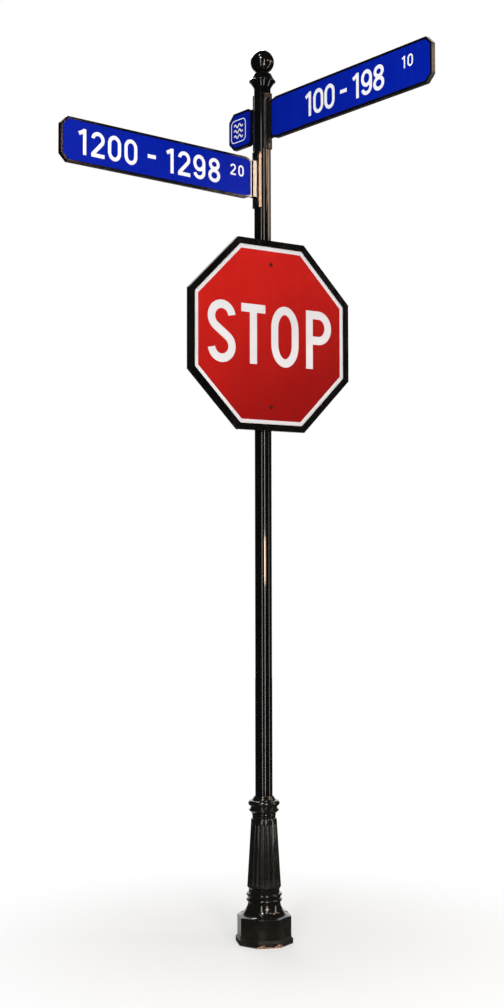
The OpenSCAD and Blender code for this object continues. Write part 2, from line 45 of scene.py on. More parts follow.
class Wire:
    """A shader socket. Sums, differences and products of wires and numbers add Math nodes to its tree."""

    def __init__(self, socket):
        self.socket = socket

    def plug(self, inputs, sockets):
        """Links a wire, or sets a number or colour, on each named input."""
        for name, value in sockets.items():
            if isinstance(value, Wire):
                self.socket.id_data.links.new(value.socket, inputs[name])
            else:
                inputs[name].default_value = value

    def node(self, kind, settings, sockets, out=0):
        """Adds a node of a kind, with its settings and then its sockets, and gives one of its outputs."""
        made = self.socket.id_data.nodes.new(kind)
        for name, value in settings.items():
            setattr(made, name, value)
        self.plug(made.inputs, sockets)
        return Wire(made.outputs[out])

    def __add__(self, other):
        return self.node("ShaderNodeMath", {"operation": "ADD"}, {0: self, 1: other})

    def __sub__(self, other):
        return self.node("ShaderNodeMath", {"operation": "SUBTRACT"}, {0: self, 1: other})

    def __rsub__(self, other):
        return self.node("ShaderNodeMath", {"operation": "SUBTRACT"}, {0: other, 1: self})

    def __mul__(self, other):
        return self.node("ShaderNodeMath", {"operation": "MULTIPLY"}, {0: self, 1: other})

    __radd__ = __add__
    __rmul__ = __mul__

    def rise(self, low, high):
        """A smooth step from 0 at the low value to 1 at the high one; low above high turns it round."""
        sockets = {"Value": self, "From Min": low, "From Max": high}
        return self.node("ShaderNodeMapRange", {"interpolation_type": "SMOOTHSTEP"}, sockets)

    def tint(self, low, high):
        """A colour that goes from low to high as this wire goes from 0 to 1."""
        return self.node("ShaderNodeMix", {"data_type": "RGBA"}, {0: self, 6: low, 7: high}, out=2)

    def wave(self, length):
        """A cosine wave of this wire, from -1 to 1, with a wave length."""
        turned = self * (2 * np.pi / length)
        return self.node("ShaderNodeMath", {"operation": "COSINE"}, {0: turned})

    def part(self, axis):
        """One coordinate of a vector."""
        return self.node("ShaderNodeSeparateXYZ", {}, {0: self}, out=axis)

    def stretch(self, x, y, z):
        """A vector with each coordinate scaled."""
        return self.node("ShaderNodeVectorMath", {"operation": "MULTIPLY"}, {0: self, 1: (x, y, z)})

    def noise(self, scale, detail=3.0, roughness=0.55):
        """Cloudy noise from 0 to 1 over a place, with scale cells to the metre."""
        sockets = {"Vector": self, "Scale": scale, "Detail": detail, "Roughness": roughness}
        return self.node("ShaderNodeTexNoise", {}, sockets)

    def grain(self, depth, edge):
        """The normal of a surface with this height, depth metres deep, with edges rounded to a radius."""
        round_edge = self.node("ShaderNodeBevel", {"samples": 4}, {"Radius": edge})
        return self.node("ShaderNodeBump", {}, {"Height": self, "Distance": depth, "Normal": round_edge})

    def finish(self, **look):
        """Plugs the look into the material's shader; an underscore in a name stands for a space."""
        shader = self.socket.id_data.nodes["Principled BSDF"]
        self.plug(shader.inputs, {name.replace("_", " "): value for name, value in look.items()})


def surface(name):
    """A new material, and the wire of the place on the object that its pattern reads."""
    material = bpy.data.materials.new(name)
    material.use_nodes = True
    source = material.node_tree.nodes.new("ShaderNodeTexCoord")
    return material, Wire(source.outputs["Object"])


def paint(red, green, blue):
    """A shader colour from a colour as a screen shows it, 0 to 255, by the screen's own curve."""
    shown = np.array([red, green, blue]) / 255
    linear = np.where(shown > 0.04045, ((shown + 0.055) / 1.055) ** 2.4, shown / 12.92)
    return (*linear.tolist(), 1.0)


def dress(material, *nodes):
    """Gives frame nodes a material."""
    for name in nodes:
        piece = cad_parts[name]
        piece.data.materials.clear()
        piece.data.materials.append(material)


PRIMER_DARK = paint(84, 86, 88)
PRIMER_PALE = paint(122, 124, 125)
BRUSH_CELLS = (900, 60, 900)

primer, place = surface("zinc_primer")
cloud = place.noise(14)
brushing = place.stretch(*BRUSH_CELLS).noise(1, detail=2)
primer_grey = (cloud * 0.7 + brushing * 0.3).rise(0.3, 0.7).tint(PRIMER_DARK, PRIMER_PALE)
place.finish(
    Base_Color=primer_grey,
    Roughness=0.5 + 0.2 * cloud,
    Metallic=0.35,
    Normal=brushing.grain(depth=0.0002, edge=0.0008),
)
dress(primer, "base_plate", "post_weld")

# Base casting and its set screws. A hollow iron casting: an octagonal foot, a bell, beads and a fluted
# drum. It slips over the post, and three blackened set screws hold it. Enamelled gloss black, chipped where
# the foot is knocked, and dull where dirt lies: on the lip and in the feet of the flutes.

ENAMEL_SHINE = 0.22
IRON_SHINE = 0.5
GLAZE = 0.95
GLAZE_ROUGHNESS = 0.05
IRON_GLAZE = 0.75
IRON_EDGE = 0.002
STREAK_CELLS = (70, 70, 1.6)
SPLASH_TOP = 0.15
CHIP_TOP = 0.02
CHIP_FADE = 0.004
KNOCK_X, KNOCK_Y = -0.42, -0.91
KNOCK_FROM, KNOCK_FULL = 0.098, 0.116
LIP_TOP = 0.028
FLUTE_FOOT_LOW, FLUTE_FOOT_TOP = 0.231, 0.275
DIRT_FADE = 0.008


def black_enamel(name, black, film, gloss, cells):
    """Black paint on metal. A dusty film lies in clouds and runs down in streaks: it greys the black and
    dulls the gloss. The coat has a fine grain, with a number of cells to the metre.
    Gives the material, its place, the height of the grain, the colour and the roughness."""
    material, place = surface(name)
    cloud = place.noise(7, detail=5)
    streak = place.stretch(*STREAK_CELLS).noise(1, detail=3)
    dust = (cloud * 0.55 + streak * 0.45).rise(0.42, 0.68)
    fine = place.noise(cells, detail=2)
    colour = dust.tint(black, film)
    roughness = gloss + 0.10 * dust
    place.finish(Specular_IOR_Level=ENAMEL_SHINE, Coat_Weight=GLAZE, Coat_Roughness=GLAZE_ROUGHNESS)
    return material, place, fine, colour, roughness


iron, place, fine, black, roughness = black_enamel(
    "base_enamel", paint(17, 17, 14), paint(27, 26, 21), gloss=0.13, cells=260
)
height = place.part("Z")
splash = height.rise(SPLASH_TOP, 0.0) * place.noise(22, detail=6).rise(0.35, 0.75)
soiled = (splash * 0.7).tint(black, paint(50, 47, 38))
flake = place.stretch(1, 1, 2.2).noise(30, detail=6, roughness=0.62)
knock = (place.part("X") * KNOCK_X + place.part("Y") * KNOCK_Y).rise(KNOCK_FROM, KNOCK_FULL)
chip = (flake + 0.16 * knock - height * 5).rise(0.62, 0.64) * height.rise(CHIP_TOP, CHIP_TOP - CHIP_FADE)
rust = place.noise(190, detail=4).rise(0.44, 0.56).tint(paint(78, 42, 24), paint(214, 176, 148))
above = height.rise(FLUTE_FOOT_LOW, FLUTE_FOOT_LOW + DIRT_FADE)
below = height.rise(FLUTE_FOOT_TOP, FLUTE_FOOT_TOP - 2 * DIRT_FADE)
grime = above * below + 0.5 * height.rise(LIP_TOP + DIRT_FADE, LIP_TOP)
place.finish(
    Specular_IOR_Level=IRON_SHINE,
    Base_Color=chip.tint(soiled, rust),
    Coat_Weight=IRON_GLAZE * (1 - chip) * (1 - 0.5 * splash) * (1 - grime),
    Roughness=roughness + 0.25 * splash + 0.45 * chip + 0.4 * grime,
    Normal=(fine + 0.8 * place.noise(90, detail=3) - 1.2 * chip).grain(depth=0.0003, edge=IRON_EDGE),
)
dress(iron, "base_casting")

SCREW_EDGE = 0.0006

blacking, place = surface("blackened_steel")
worn = place.noise(240, detail=4).rise(0.48, 0.72)
place.finish(
    Base_Color=worn.tint(paint(24, 24, 25), paint(64, 62, 60)),
    Metallic=0.6,
    Roughness=0.34 + 0.2 * worn,
    Normal=place.noise(700).grain(depth=0.0002, edge=SCREW_EDGE),
)
dress(blacking, "base_set_screws")

# Post. A round steel tube welded to the base plate, drilled for the sign's bolts and tapped for the
# saddles. Sprayed with gloss black enamel that has a slight orange peel and a rain-streaked film of dust.

JET = paint(6, 6, 6)
JET_FILM = paint(15, 14, 13)

enamel, place, fine, black, roughness = black_enamel("post_enamel", JET, JET_FILM, gloss=0.08, cells=330)
place.finish(Base_Color=black, Roughness=roughness, Normal=fine.grain(depth=0.000008, edge=0.001))
dress(enamel, "post_tube")

# Finial and its set screws. A cast aluminium ball on a necked shoulder, with a skirt over the post's top.
# Enamelled gloss black over a slightly pitted casting, and held by three blackened set screws.

cast_enamel, place, fine, black, roughness = black_enamel(
    "finial_enamel", JET, JET_FILM, gloss=0.1, cells=240
)
place.finish(Base_Color=black, Roughness=roughness, Normal=fine.grain(depth=0.00022, edge=0.0012))
dress(cast_enamel, "finial")
dress(blacking, "finial_set_screws")

# Saddles, seats and screws. Cast aluminium brackets that hug the post: a saddle has two cheeks round a
# plate's root, and two seats carry the stop sign. Sand cast, so the black coat keeps a coarse speckle.
# Blackened pan head screws hold each saddle to the post and each plate in its saddle.

SAND_SHINE = 0.9
SAND_GLAZE = 0.35

sand_coat, place, fine, black, roughness = black_enamel(
    "sand_cast_coat", JET, paint(14, 13, 12), gloss=0.1, cells=190
)
pit = place.noise(150, detail=2).rise(0.4, 0.62)
place.finish(
    Specular_IOR_Level=SAND_SHINE,
    Base_Color=black,
    Coat_Weight=SAND_GLAZE,
    Roughness=roughness + 0.08 * pit,
    Normal=(fine + 0.9 * pit).grain(depth=0.0007, edge=0.0014),
)
dress(sand_coat, "upper_saddle", "badge_saddle", "lower_saddle", "upper_sign_seat", "lower_sign_seat")
dress(blacking, "saddle_screws", "blade_screws")

# Frames of the blades, the badge and the stop sign. Aluminium with a lip round each face, powder coated
# gloss black. A blade's root is screwed between its saddle's cheeks, and the sign's frame holds its panel.

FRAME_GLAZE = 0.5

frame_coat, place, fine, black, roughness = black_enamel(
    "frame_coat", paint(7, 7, 7), paint(17, 16, 16), gloss=0.14, cells=520
)
place.finish(
    Base_Color=black,
    Coat_Weight=FRAME_GLAZE,
    Roughness=roughness,
    Normal=fine.grain(depth=0.00005, edge=0.0014),
)
dress(frame_coat, "upper_blade_frame", "lower_blade_frame", "badge_frame", "sign_frame")

# Blade and badge faces. Aluminium sheets laid in both sides of the frames, under blue reflective film.
# The film has a lattice of fine cells, and it is a little chalky where rain runs down.

CELL = 0.0038
FILM_SHINE = 0.03
RUN_CELLS = (55, 55, 1.2)
LATTICE = ((1.0, 0.0), (0.5, 0.866), (0.5, -0.866))


def film_cells(across, height):
    """The lattice of a reflective film: three cosine waves at 60 degrees, summed and scaled to 0 to 1."""
    first, second, third = [(across * a + height * b).wave(CELL) for a, b in LATTICE]
    return (first + second + third) * 0.22 + 0.33


def reflective_film(name, deep, pale, chalk):
    """Reflective film: two shades over the lattice and in clouds, chalked in faint streaks down the face.
    Gives the material, its place, the colour, the roughness and the lattice."""
    material, place = surface(name)
    across = place.part("X") + place.part("Y")
    cells = film_cells(across, place.part("Z"))
    cloud = place.noise(5, detail=4)
    run = place.stretch(*RUN_CELLS).noise(1, detail=3).rise(0.45, 0.75)
    shade = (cells * 0.35 + cloud * 0.65).rise(0.2, 0.8).tint(deep, pale)
    colour = (run * 0.12).tint(shade, chalk)
    roughness = 0.28 + 0.1 * run + 0.06 * cells
    place.finish(Specular_IOR_Level=FILM_SHINE)
    return material, place, colour, roughness, cells


blue_film, place, colour, roughness, cells = reflective_film(
    "blue_film", paint(1, 26, 154), paint(5, 36, 174), paint(28, 54, 172)
)
place.finish(Base_Color=colour, Roughness=roughness, Normal=cells.grain(depth=0.00004, edge=0.0004))
dress(
    blue_film,
    "upper_blade_left_face",
    "upper_blade_right_face",
    "lower_blade_front_face",
    "lower_blade_back_face",
    "badge_left_face",
    "badge_right_face",
)

# Numbers on the street blades. Plain house numbers cut from white reflective film and rolled onto both
# faces, with a smaller raised pair beside them. A figure's strokes all have one width.

FILM_T = 0.0003
LAYER = 0.00004
LAYERS = 5
ARC_STEP = 6
SAME_SPOT = 1e-6
FIGURE_H = 0.102
FIGURE_W = 0.062
FIGURE_STROKE = 0.0152
WORD_GAP = 0.3
SMALL = 0.47
SMALL_RISE = 0.022
ARM_TURN = {"lower": 186.0, "upper": -84.0, "badge": 96.0}
FACE_OUT = 0.0085


def arc(centre, radii, start, end):
    """Points of an ellipse from one angle to another, in degrees: centre + radii * (cos, sin)."""
    steps = max(2, int(abs(end - start) / ARC_STEP) + 1)
    turn = np.radians(np.linspace(start, end, steps))
    return np.stack([centre[0] + radii[0] * np.cos(turn), centre[1] + radii[1] * np.sin(turn)], axis=1)


def line(*points):
    """A path of straight stretches."""
    return np.array(points, dtype=float)


def oval(centre, half_w, half_h, bend):
    """A closed path: two half ellipses that bend high, joined by straight sides."""
    lift = half_h - bend
    top = arc((centre[0], centre[1] + lift), (half_w, bend), 0, 180)
    low = arc((centre[0], centre[1] - lift), (half_w, bend), 180, 360)
    return np.concatenate([top, low])


def ribbon(path, closed, width, low, high):
    """A flat bar along a path: at each point four corners, half a width to each side along the mitred
    normal and at two heights above the face. Gives the corners and the faces of a closed skin."""
    apart = np.linalg.norm(path - np.roll(path, 1, axis=0), axis=1) > SAME_SPOT
    path = path[apart]
    ahead = np.roll(path, -1, axis=0) - path
    behind = path - np.roll(path, 1, axis=0)
    if not closed:
        ahead[-1] = behind[-1]
        behind[0] = ahead[0]
    ahead = ahead / np.linalg.norm(ahead, axis=1, keepdims=True)
    behind = behind / np.linalg.norm(behind, axis=1, keepdims=True)
    mitre = (ahead + behind) / (1 + np.sum(ahead * behind, axis=1, keepdims=True))
    side = np.stack([-mitre[:, 1], mitre[:, 0]], axis=1) * width / 2
    corners = [(path + side, low), (path - side, low), (path - side, high), (path + side, high)]
    count = len(path)
    skin = np.stack([np.column_stack([flat, np.full(count, out)]) for flat, out in corners], axis=1)
    stations = np.arange(count if closed else count - 1)
    i, j = np.meshgrid(stations, np.arange(4), indexing="ij")
    here = i * 4
    there = (i + 1) % count * 4
    beside = (j + 1) % 4
    quads = np.stack([here + j, here + beside, there + beside, there + j], axis=-1).reshape(-1, 4)
    if not closed:
        caps = [np.arange(4)[::-1], np.arange(4) + (count - 1) * 4]
        quads = np.concatenate([quads, caps])
    return skin.reshape(-1, 3), quads


def film_piece(name, strokes, origin, right, out, material):
    """A piece of white film: ribbons laid on a face, each a hair thicker than the one before, in rounds.
    A flat place (across, up) becomes origin + across * right + up * Z, lifted along the outward normal."""
    corners, faces, start = [], [], 0
    axes = np.array([right, (0, 0, 1), out], dtype=float)
    for layer, (path, closed, width) in enumerate(strokes):
        skin, quads = ribbon(path, closed, width, 0.0, FILM_T + LAYER * (layer % LAYERS))
        corners.append(skin @ axes + origin)
        faces.append(quads + start)
        start += len(skin)
    mesh = bpy.data.meshes.new(name)
    mesh.from_pydata(np.concatenate(corners).tolist(), [], np.concatenate(faces).tolist())
    shell = bmesh.new()
    shell.from_mesh(mesh)
    bmesh.ops.recalc_face_normals(shell, faces=shell.faces)
    shell.to_mesh(mesh)
    shell.free()
    mesh.materials.append(material)
    piece = bpy.data.objects.new(name, mesh)
    bpy.context.scene.collection.objects.link(piece)
    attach(piece, "root")


def figure(sign, w, h, s):
    """The strokes of one figure, centred on the origin, for a width, a height and a stroke width.
    Gives each path with whether it is closed, and the width that the figure takes up."""
    a, b = (w - s) / 2, (h - s) / 2
    if sign == "0":
        return [(oval((0, 0), a, b, a * 1.15), True)], w
    if sign == "1":
        stem = 0.13 * w
        flag = line((stem - 0.42 * w, 0.30 * h), (stem, h / 2 - 0.45 * s))
        return [(line((stem, -h / 2), (stem, h / 2)), False), (flag, False)], 0.72 * w
    if sign == "2":
        bow = arc((0, b - a), (a, a), 172, -38)
        foot = line((-a, -b + 0.3 * s))
        return [(np.concatenate([bow, foot]), False), (line((-w / 2, -b), (w / 2, -b)), False)], w
    if sign == "8":
        rise, fall = 0.245 * h, 0.215 * h
        upper = oval((0, rise), 0.88 * a, b - rise, b - rise)
        lower = oval((0, -fall), a, b - fall, b - fall)
        return [(upper, True), (lower, True)], w
    if sign == "9":
        bend = 0.62 * b
        head = oval((0, b - bend), a, bend, bend)
        tail = np.concatenate([line((a, b - bend)), arc((0, -b + a), (a, a), 0, -165)])
        return [(head, True), (tail, False)], w
    dash = 0.32 * w
    return [(line((-dash, 0), (dash, 0)), False)], 2 * dash


def figures(text, h, span, middle):
    """The strokes of a row of figures of a height, spread evenly over a span about (across, up)."""
    scale = h / FIGURE_H
    w = FIGURE_W * scale
    s = FIGURE_STROKE * scale
    made = [([], WORD_GAP * w) if sign == " " else figure(sign, w, h, s) for sign in text]
    gap = (span - sum(width for _, width in made)) / (len(text) - 1)
    strokes, pen = [], middle[0] - span / 2
    for paths, width in made:
        strokes += [(path + (pen + width / 2, middle[1]), closed, s) for path, closed in paths]
        pen += width + gap
    return strokes


def arm_face(arm, side, node):
    """The origin, reading direction and outward normal of a plate's face on one side of its arm."""
    turn = np.radians(ARM_TURN[arm])
    along = np.array([np.cos(turn), np.sin(turn), 0.0])
    out = np.array([-np.sin(turn), np.cos(turn), 0.0]) * side
    low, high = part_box(node)
    return out * FACE_OUT + (0, 0, (low[2] + high[2]) / 2), along * -side, out


number_film, place, colour, roughness, cells = reflective_film(
    "number_film", paint(244, 246, 249), paint(253, 253, 254), paint(246, 246, 246)
)
place.finish(Base_Color=colour, Roughness=roughness, Normal=cells.grain(depth=0.00003, edge=0.0002))

# A row holds its text, span and middle from the post's axis, and then those of the small pair.
LOWER_ROW = ("1200 - 1298", 0.70, 0.588, "20", 0.072, 0.147)
UPPER_ROW = ("100 - 198", 0.47, 0.525, "10", 0.060, 0.887)

for arm, row, sides in (
    ("lower", LOWER_ROW, {"front": 1, "back": -1}),
    ("upper", UPPER_ROW, {"left": -1, "right": 1}),
):
    text, span, middle, small_text, small_span, small_middle = row
    for view, side in sides.items():
        origin, right, out = arm_face(arm, side, f"{arm}_blade_{view}_face")
        strokes = figures(text, FIGURE_H, span, (-side * middle, 0.0))
        strokes += figures(small_text, FIGURE_H * SMALL, small_span, (-side * small_middle, SMALL_RISE))
        film_piece(f"{arm}_{view}_numbers", strokes, origin, right, out, number_film)

# Badge. A small framed sheet, nearly square, with a plain device of white film stuck on both faces:
# a square border with round corners and three waves in it.

DEVICE = 0.098
DEVICE_MIDDLE = 0.156
DEVICE_STROKE = 0.0042
CORNER = 0.02
WAVE_LEN = 0.030
WAVE_RISE = 0.0065
WAVE_STEP = 0.024
WAVE_STROKE = 1.4 * DEVICE_STROKE
WAVE_POINTS = 61


def round_square(size, corner):
    """A closed square path with a quarter circle at each corner."""
    reach = size / 2 - corner
    spots = [(reach, reach, 0), (-reach, reach, 90), (-reach, -reach, 180), (reach, -reach, 270)]
    return np.concatenate([arc((x, y), (corner, corner), turn, turn + 90) for x, y, turn in spots])


def wave(width, rise):
    """A sine path across a width: up = rise * sin(2 pi * across / wave length)."""
    across = np.linspace(-width / 2, width / 2, WAVE_POINTS)
    return np.stack([across, rise * np.sin(2 * np.pi * across / WAVE_LEN)], axis=1)


for view, side in {"left": 1, "right": -1}.items():
    origin, right, out = arm_face("badge", side, f"badge_{view}_face")
    centre = (-side * DEVICE_MIDDLE, 0.0)
    strokes = [(round_square(DEVICE, CORNER) + centre, True, DEVICE_STROKE)]
    for step in (-1, 0, 1):
        crest = wave(2 * WAVE_LEN, WAVE_RISE) + (centre[0], step * WAVE_STEP)
        strokes.append((crest, False, WAVE_STROKE))
    film_piece(f"badge_{view}_device", strokes, origin, right, out, number_film)

# Stop sign panel. A flat aluminium octagon held in the frame's rebate by clips and bolted to the seats.
# Red reflective film covers its front. It is ribbed, and it is darker towards the lower right, partly from
# sun fading and partly from painted shade. Its back and edges are bare mill aluminium.

panel_low, panel_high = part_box("sign_panel")
PANEL_FRONT = panel_low[1]
SIGN_Z = (panel_low[2] + panel_high[2]) / 2
PANEL_AF = panel_high[2] - panel_low[2]
RIB = 0.0092
# How the red darkens towards the lower right: partly sun fading, partly painted shade.
FADE_AND_SHADE_ACROSS, FADE_AND_SHADE_DOWN = 0.45, 0.85
FADE_AND_SHADE_FROM, FADE_AND_SHADE_FULL = -0.36, 0.42
FADE_AND_SHADE_RED = paint(128, 15, 15)
FILM_BACK, BARE_FROM = 0.0002, 0.0003
MILL_CELLS = (900, 900, 25)

red_film, place, colour, roughness, cells = reflective_film(
    "red_film", paint(188, 28, 24), paint(212, 38, 32), paint(196, 52, 44)
)
across = place.part("X")
drop = SIGN_Z - place.part("Z")
ribs = 0.5 + 0.5 * across.wave(RIB)
# Painted shade with sun fading: the red darkens towards the lower right, and the ribs show most there.
fade_and_shade = (across * FADE_AND_SHADE_ACROSS + drop * FADE_AND_SHADE_DOWN).rise(FADE_AND_SHADE_FROM, FADE_AND_SHADE_FULL)
colour = (0.15 + fade_and_shade * (0.53 + 0.42 * ribs)).tint(colour, FADE_AND_SHADE_RED)
bare = place.part("Y").rise(PANEL_FRONT + FILM_BACK, PANEL_FRONT + BARE_FROM)
rolling = place.stretch(*MILL_CELLS).noise(1, detail=2)
mill = rolling.tint(paint(168, 170, 172), paint(200, 201, 202))
place.finish(
    Base_Color=bare.tint(colour, mill),
    Metallic=0.7 * bare,
    Roughness=roughness + bare * (0.12 + 0.15 * rolling),
    Normal=(cells * (1 - bare) + rolling * bare).grain(depth=0.00004, edge=0.0004),
)
dress(red_film, "sign_panel")

# Border and legend of the stop sign. White reflective film: a ring along the frame's lip, and the one word
# that every sign of this kind carries, in plain letters of a single stroke, a third of the panel high.

BORDER_GAP, BORDER_REACH = 0.0021, 0.0190
BORDER_OUT = PANEL_AF / 2 - BORDER_GAP
BORDER_IN = PANEL_AF / 2 - BORDER_REACH
LETTER_H = PANEL_AF / 3
LETTER_STROKE = 0.0355
LETTER_GAPS = (0.0287, 0.0303, 0.0399)
LETTER_WIDTHS = (0.136, 0.121, 0.141, 0.1335)
OVERSHOOT = 1.03
S_BEND, S_TIP = 0.45, 8
O_BEND = 1.5
P_BOWL, P_TURN = 0.577, 0.9


def letter_s(w, h, s):
    """An S: two equal bows, and a straight spine that touches both.
    It touches where the sine of the turn past half a circle is bend / lift."""
    a, b = (w - s) / 2, (h * OVERSHOOT - s) / 2
    bend = S_BEND * b
    lift = b - bend
    upper = arc((0, lift), (a, bend), S_TIP, 180 + np.degrees(np.arcsin(bend / lift)))
    return [(np.concatenate([upper, -upper[::-1]]), False)]


def letter_t(w, h, s):
    """A T: a bar with a stem under it."""
    return [
        (line((-w / 2, (h - s) / 2), (w / 2, (h - s) / 2)), False),
        (line((0, -h / 2), (0, h / 2 - s)), False),
    ]


def letter_o(w, h, s):
    """An O: one tall oval."""
    a, b = (w - s) / 2, (h * OVERSHOOT - s) / 2
    return [(oval((0, 0), a, b, O_BEND * a), True)]


def letter_p(w, h, s):
    """A P: a stem, and a bowl that leaves its edge, turns half round and comes back."""
    stem = -w / 2 + s / 2
    top = (h - s) / 2
    low = h / 2 - P_BOWL * h + s / 2
    bend = (top - low) / 2
    reach = P_TURN * bend
    turn = arc((w / 2 - s / 2 - reach, low + bend), (reach, bend), 90, -90)
    bowl = [line((stem + s / 2, top)), turn, line((stem + s / 2, low))]
    return [(line((stem, -h / 2), (stem, h / 2)), False), (np.concatenate(bowl), False)]


white_film, place, colour, roughness, cells = reflective_film(
    "white_film", paint(207, 210, 217), paint(233, 235, 241), paint(220, 220, 221)
)
place.finish(Base_Color=colour, Roughness=roughness, Normal=cells.grain(depth=0.00003, edge=0.0002))

strokes = []
pen = -(sum(LETTER_WIDTHS) + sum(LETTER_GAPS)) / 2
for letter, width, gap in zip((letter_s, letter_t, letter_o, letter_p), LETTER_WIDTHS, (*LETTER_GAPS, 0.0)):
    for path, closed in letter(width, LETTER_H, LETTER_STROKE):
        strokes.append((path + (pen + width / 2, 0.0), closed, LETTER_STROKE))
    pen += width + gap
face_origin = np.array([0.0, PANEL_FRONT, SIGN_Z])
film_piece("stop_legend", strokes, face_origin, (1, 0, 0), (0, -1, 0), white_film)

corner_r = (BORDER_OUT + BORDER_IN) / 2 / np.cos(np.pi / 8)
ring_turn = np.radians(22.5 + 45 * np.arange(8))
ring = corner_r * np.stack([np.cos(ring_turn), np.sin(ring_turn)], axis=1)
border = [(ring, True, BORDER_OUT - BORDER_IN)]
film_piece("stop_border", border, face_origin, (1, 0, 0), (0, -1, 0), white_film)

# Clips, bolts, washers and nuts of the stop sign. Dulled zinc-plated steel: eight clips hold the panel in
# its frame, and two bolts go through panel, seats and post to nuts on hollowed washers. The bolts and the
# washers under their heads are stained dark red.

zinc, place = surface("zinc_plate")
spangle = place.noise(160, detail=4)
tarnish = place.noise(60, detail=5).rise(0.45, 0.7)
place.finish(
    Base_Color=tarnish.tint(spangle.tint(paint(150, 152, 154), paint(186, 187, 188)), paint(104, 96, 84)),
    Metallic=0.85,
    Roughness=0.32 + 0.2 * tarnish,
    Normal=spangle.grain(depth=0.0002, edge=SCREW_EDGE),
)
dress(zinc, "panel_clips", "clip_screws", "seat_washers", "sign_nuts")

weathered, place = surface("weathered_bolt")
stain = place.noise(300, detail=4).rise(0.4, 0.66)
place.finish(
    Base_Color=stain.tint(paint(52, 18, 16), paint(92, 40, 34)),
    Specular_IOR_Level=0.15,
    Roughness=0.5 + 0.2 * stain,
    Normal=stain.grain(depth=0.0002, edge=SCREW_EDGE),
)
dress(weathered, "sign_bolts", "sign_washers")

# Stage. A pale floor fades to a white backdrop that lights the rest at a plain level. Dark felt on the
# floor, round the room and overhead keeps the gloss black, with grey felt beside the foot, and all of it is
# seen only in reflections. Tall lamps draw lines down the enamel and small ones put sparks on it.

FLOOR_HALF = 14.0
GLOW_NEAR, GLOW_FAR = 0.15, 1.6
FLOOR_GLOW = 0.45
WORLD_LEVEL = 0.3
WHITE = (1.0, 1.0, 1.0, 1.0)
MATTE = 0.9

floor_mesh = bpy.data.meshes.new("floor")
floor_corners = FLOOR_HALF * np.array([(-1, -1, 0), (1, -1, 0), (1, 1, 0), (-1, 1, 0)])
floor_mesh.from_pydata(floor_corners.tolist(), [], [(0, 1, 2, 3)])
floor = bpy.data.objects.new("floor", floor_mesh)
bpy.context.scene.collection.objects.link(floor)
floor_pale, place = surface("floor_pale")
place.finish(Base_Color=(0.92, 0.92, 0.91, 1.0), Roughness=MATTE, Specular_IOR_Level=0.0)
distance = place.node("ShaderNodeVectorMath", {"operation": "LENGTH"}, {0: place}, out=1)
away = distance.rise(GLOW_NEAR, GLOW_FAR)


def shown(wire):
    """1 for a ray from the camera, a mirror or glass, and 0 for one that carries light."""
    rays = wire.node("ShaderNodeLightPath", {}, {}, out="Is Camera Ray")
    outputs = rays.socket.node.outputs
    return (rays + Wire(outputs["Is Glossy Ray"]) + Wire(outputs["Is Transmission Ray"])).rise(0, 1)


tree = floor_pale.node_tree
glow = place.node("ShaderNodeEmission", {}, {"Color": WHITE, "Strength": 1.0})
plain = Wire(tree.nodes["Principled BSDF"].outputs[0])
share = shown(place) * (FLOOR_GLOW + (1 - FLOOR_GLOW) * away)
blend = place.node("ShaderNodeMixShader", {}, {0: share, 1: plain, 2: glow})
tree.links.new(blend.socket, tree.nodes["Material Output"].inputs["Surface"])
floor_mesh.materials.append(floor_pale)

world = bpy.data.worlds.new("white_backdrop")
world.use_nodes = True
sky = world.node_tree.nodes["Background"]
white = Wire(sky.outputs[0])
level = WORLD_LEVEL + (1 - WORLD_LEVEL) * shown(white)
white.plug(sky.inputs, {"Color": WHITE, "Strength": level})
bpy.context.scene.world = world
bpy.context.scene.view_settings.view_transform = "Standard"

FELT_NEAR, FELT_FOOT, FELT_WALL, FELT_FAR = 0.1, 0.9, 9.0, 14.0
FELT_LIFT = 0.004
FELT_TOP = 10.0
LID_HOLE = 0.01
FELT_STATIONS = 49
WALL_FROM, WALL_TO = 85.0, 389.0
FOOT_FROM, FOOT_TO = 125.0, 430.0

dark_felt, place = surface("dark_felt")
place.finish(Base_Color=(0.05, 0.05, 0.05, 1.0), Roughness=MATTE, Specular_IOR_Level=0.0)
grey_felt, place = surface("grey_felt")
place.finish(Base_Color=(0.5, 0.5, 0.48, 1.0), Roughness=MATTE, Specular_IOR_Level=0.0)


def felt_band(name, felt, first, second, start, end):
    """A band of felt between two places (radius, height), turned about z from one angle to another.
    It is seen in reflections only."""
    turn = np.radians(np.linspace(start, end, FELT_STATIONS))
    cosine, sine = np.cos(turn), np.sin(turn)
    rows = [np.column_stack([r * cosine, r * sine, np.full(FELT_STATIONS, z)]) for r, z in (first, second)]
    k = np.arange(FELT_STATIONS - 1)
    quads = np.stack([k, k + 1, k + 1 + FELT_STATIONS, k + FELT_STATIONS], axis=1)
    mesh = bpy.data.meshes.new(name)
    mesh.from_pydata(np.concatenate(rows).tolist(), [], quads.tolist())
    mesh.materials.append(felt)
    cloth = bpy.data.objects.new(name, mesh)
    bpy.context.scene.collection.objects.link(cloth)
    cloth.visible_camera = False
    cloth.visible_diffuse = False
    cloth.visible_shadow = False


near, middle, far = [(radius, FELT_LIFT) for radius in (FELT_NEAR, FELT_FOOT, FELT_FAR)]
wall_foot, wall_top = [(FELT_WALL, height) for height in (FELT_LIFT, FELT_TOP)]
felt_band("grey_foot", grey_felt, near, middle, FOOT_TO - 360, FOOT_FROM)
felt_band("dark_foot", dark_felt, near, middle, FOOT_FROM, FOOT_TO)
felt_band("dark_floor", dark_felt, middle, far, 0.0, 360.0)
felt_band("dark_wall", dark_felt, wall_foot, wall_top, WALL_FROM, WALL_TO)
felt_band("dark_lid", dark_felt, wall_top, (LID_HOLE, FELT_TOP), 0.0, 360.0)

WARM = (1.0, 0.78, 0.58)
COPPER = (1.0, 0.6, 0.36)


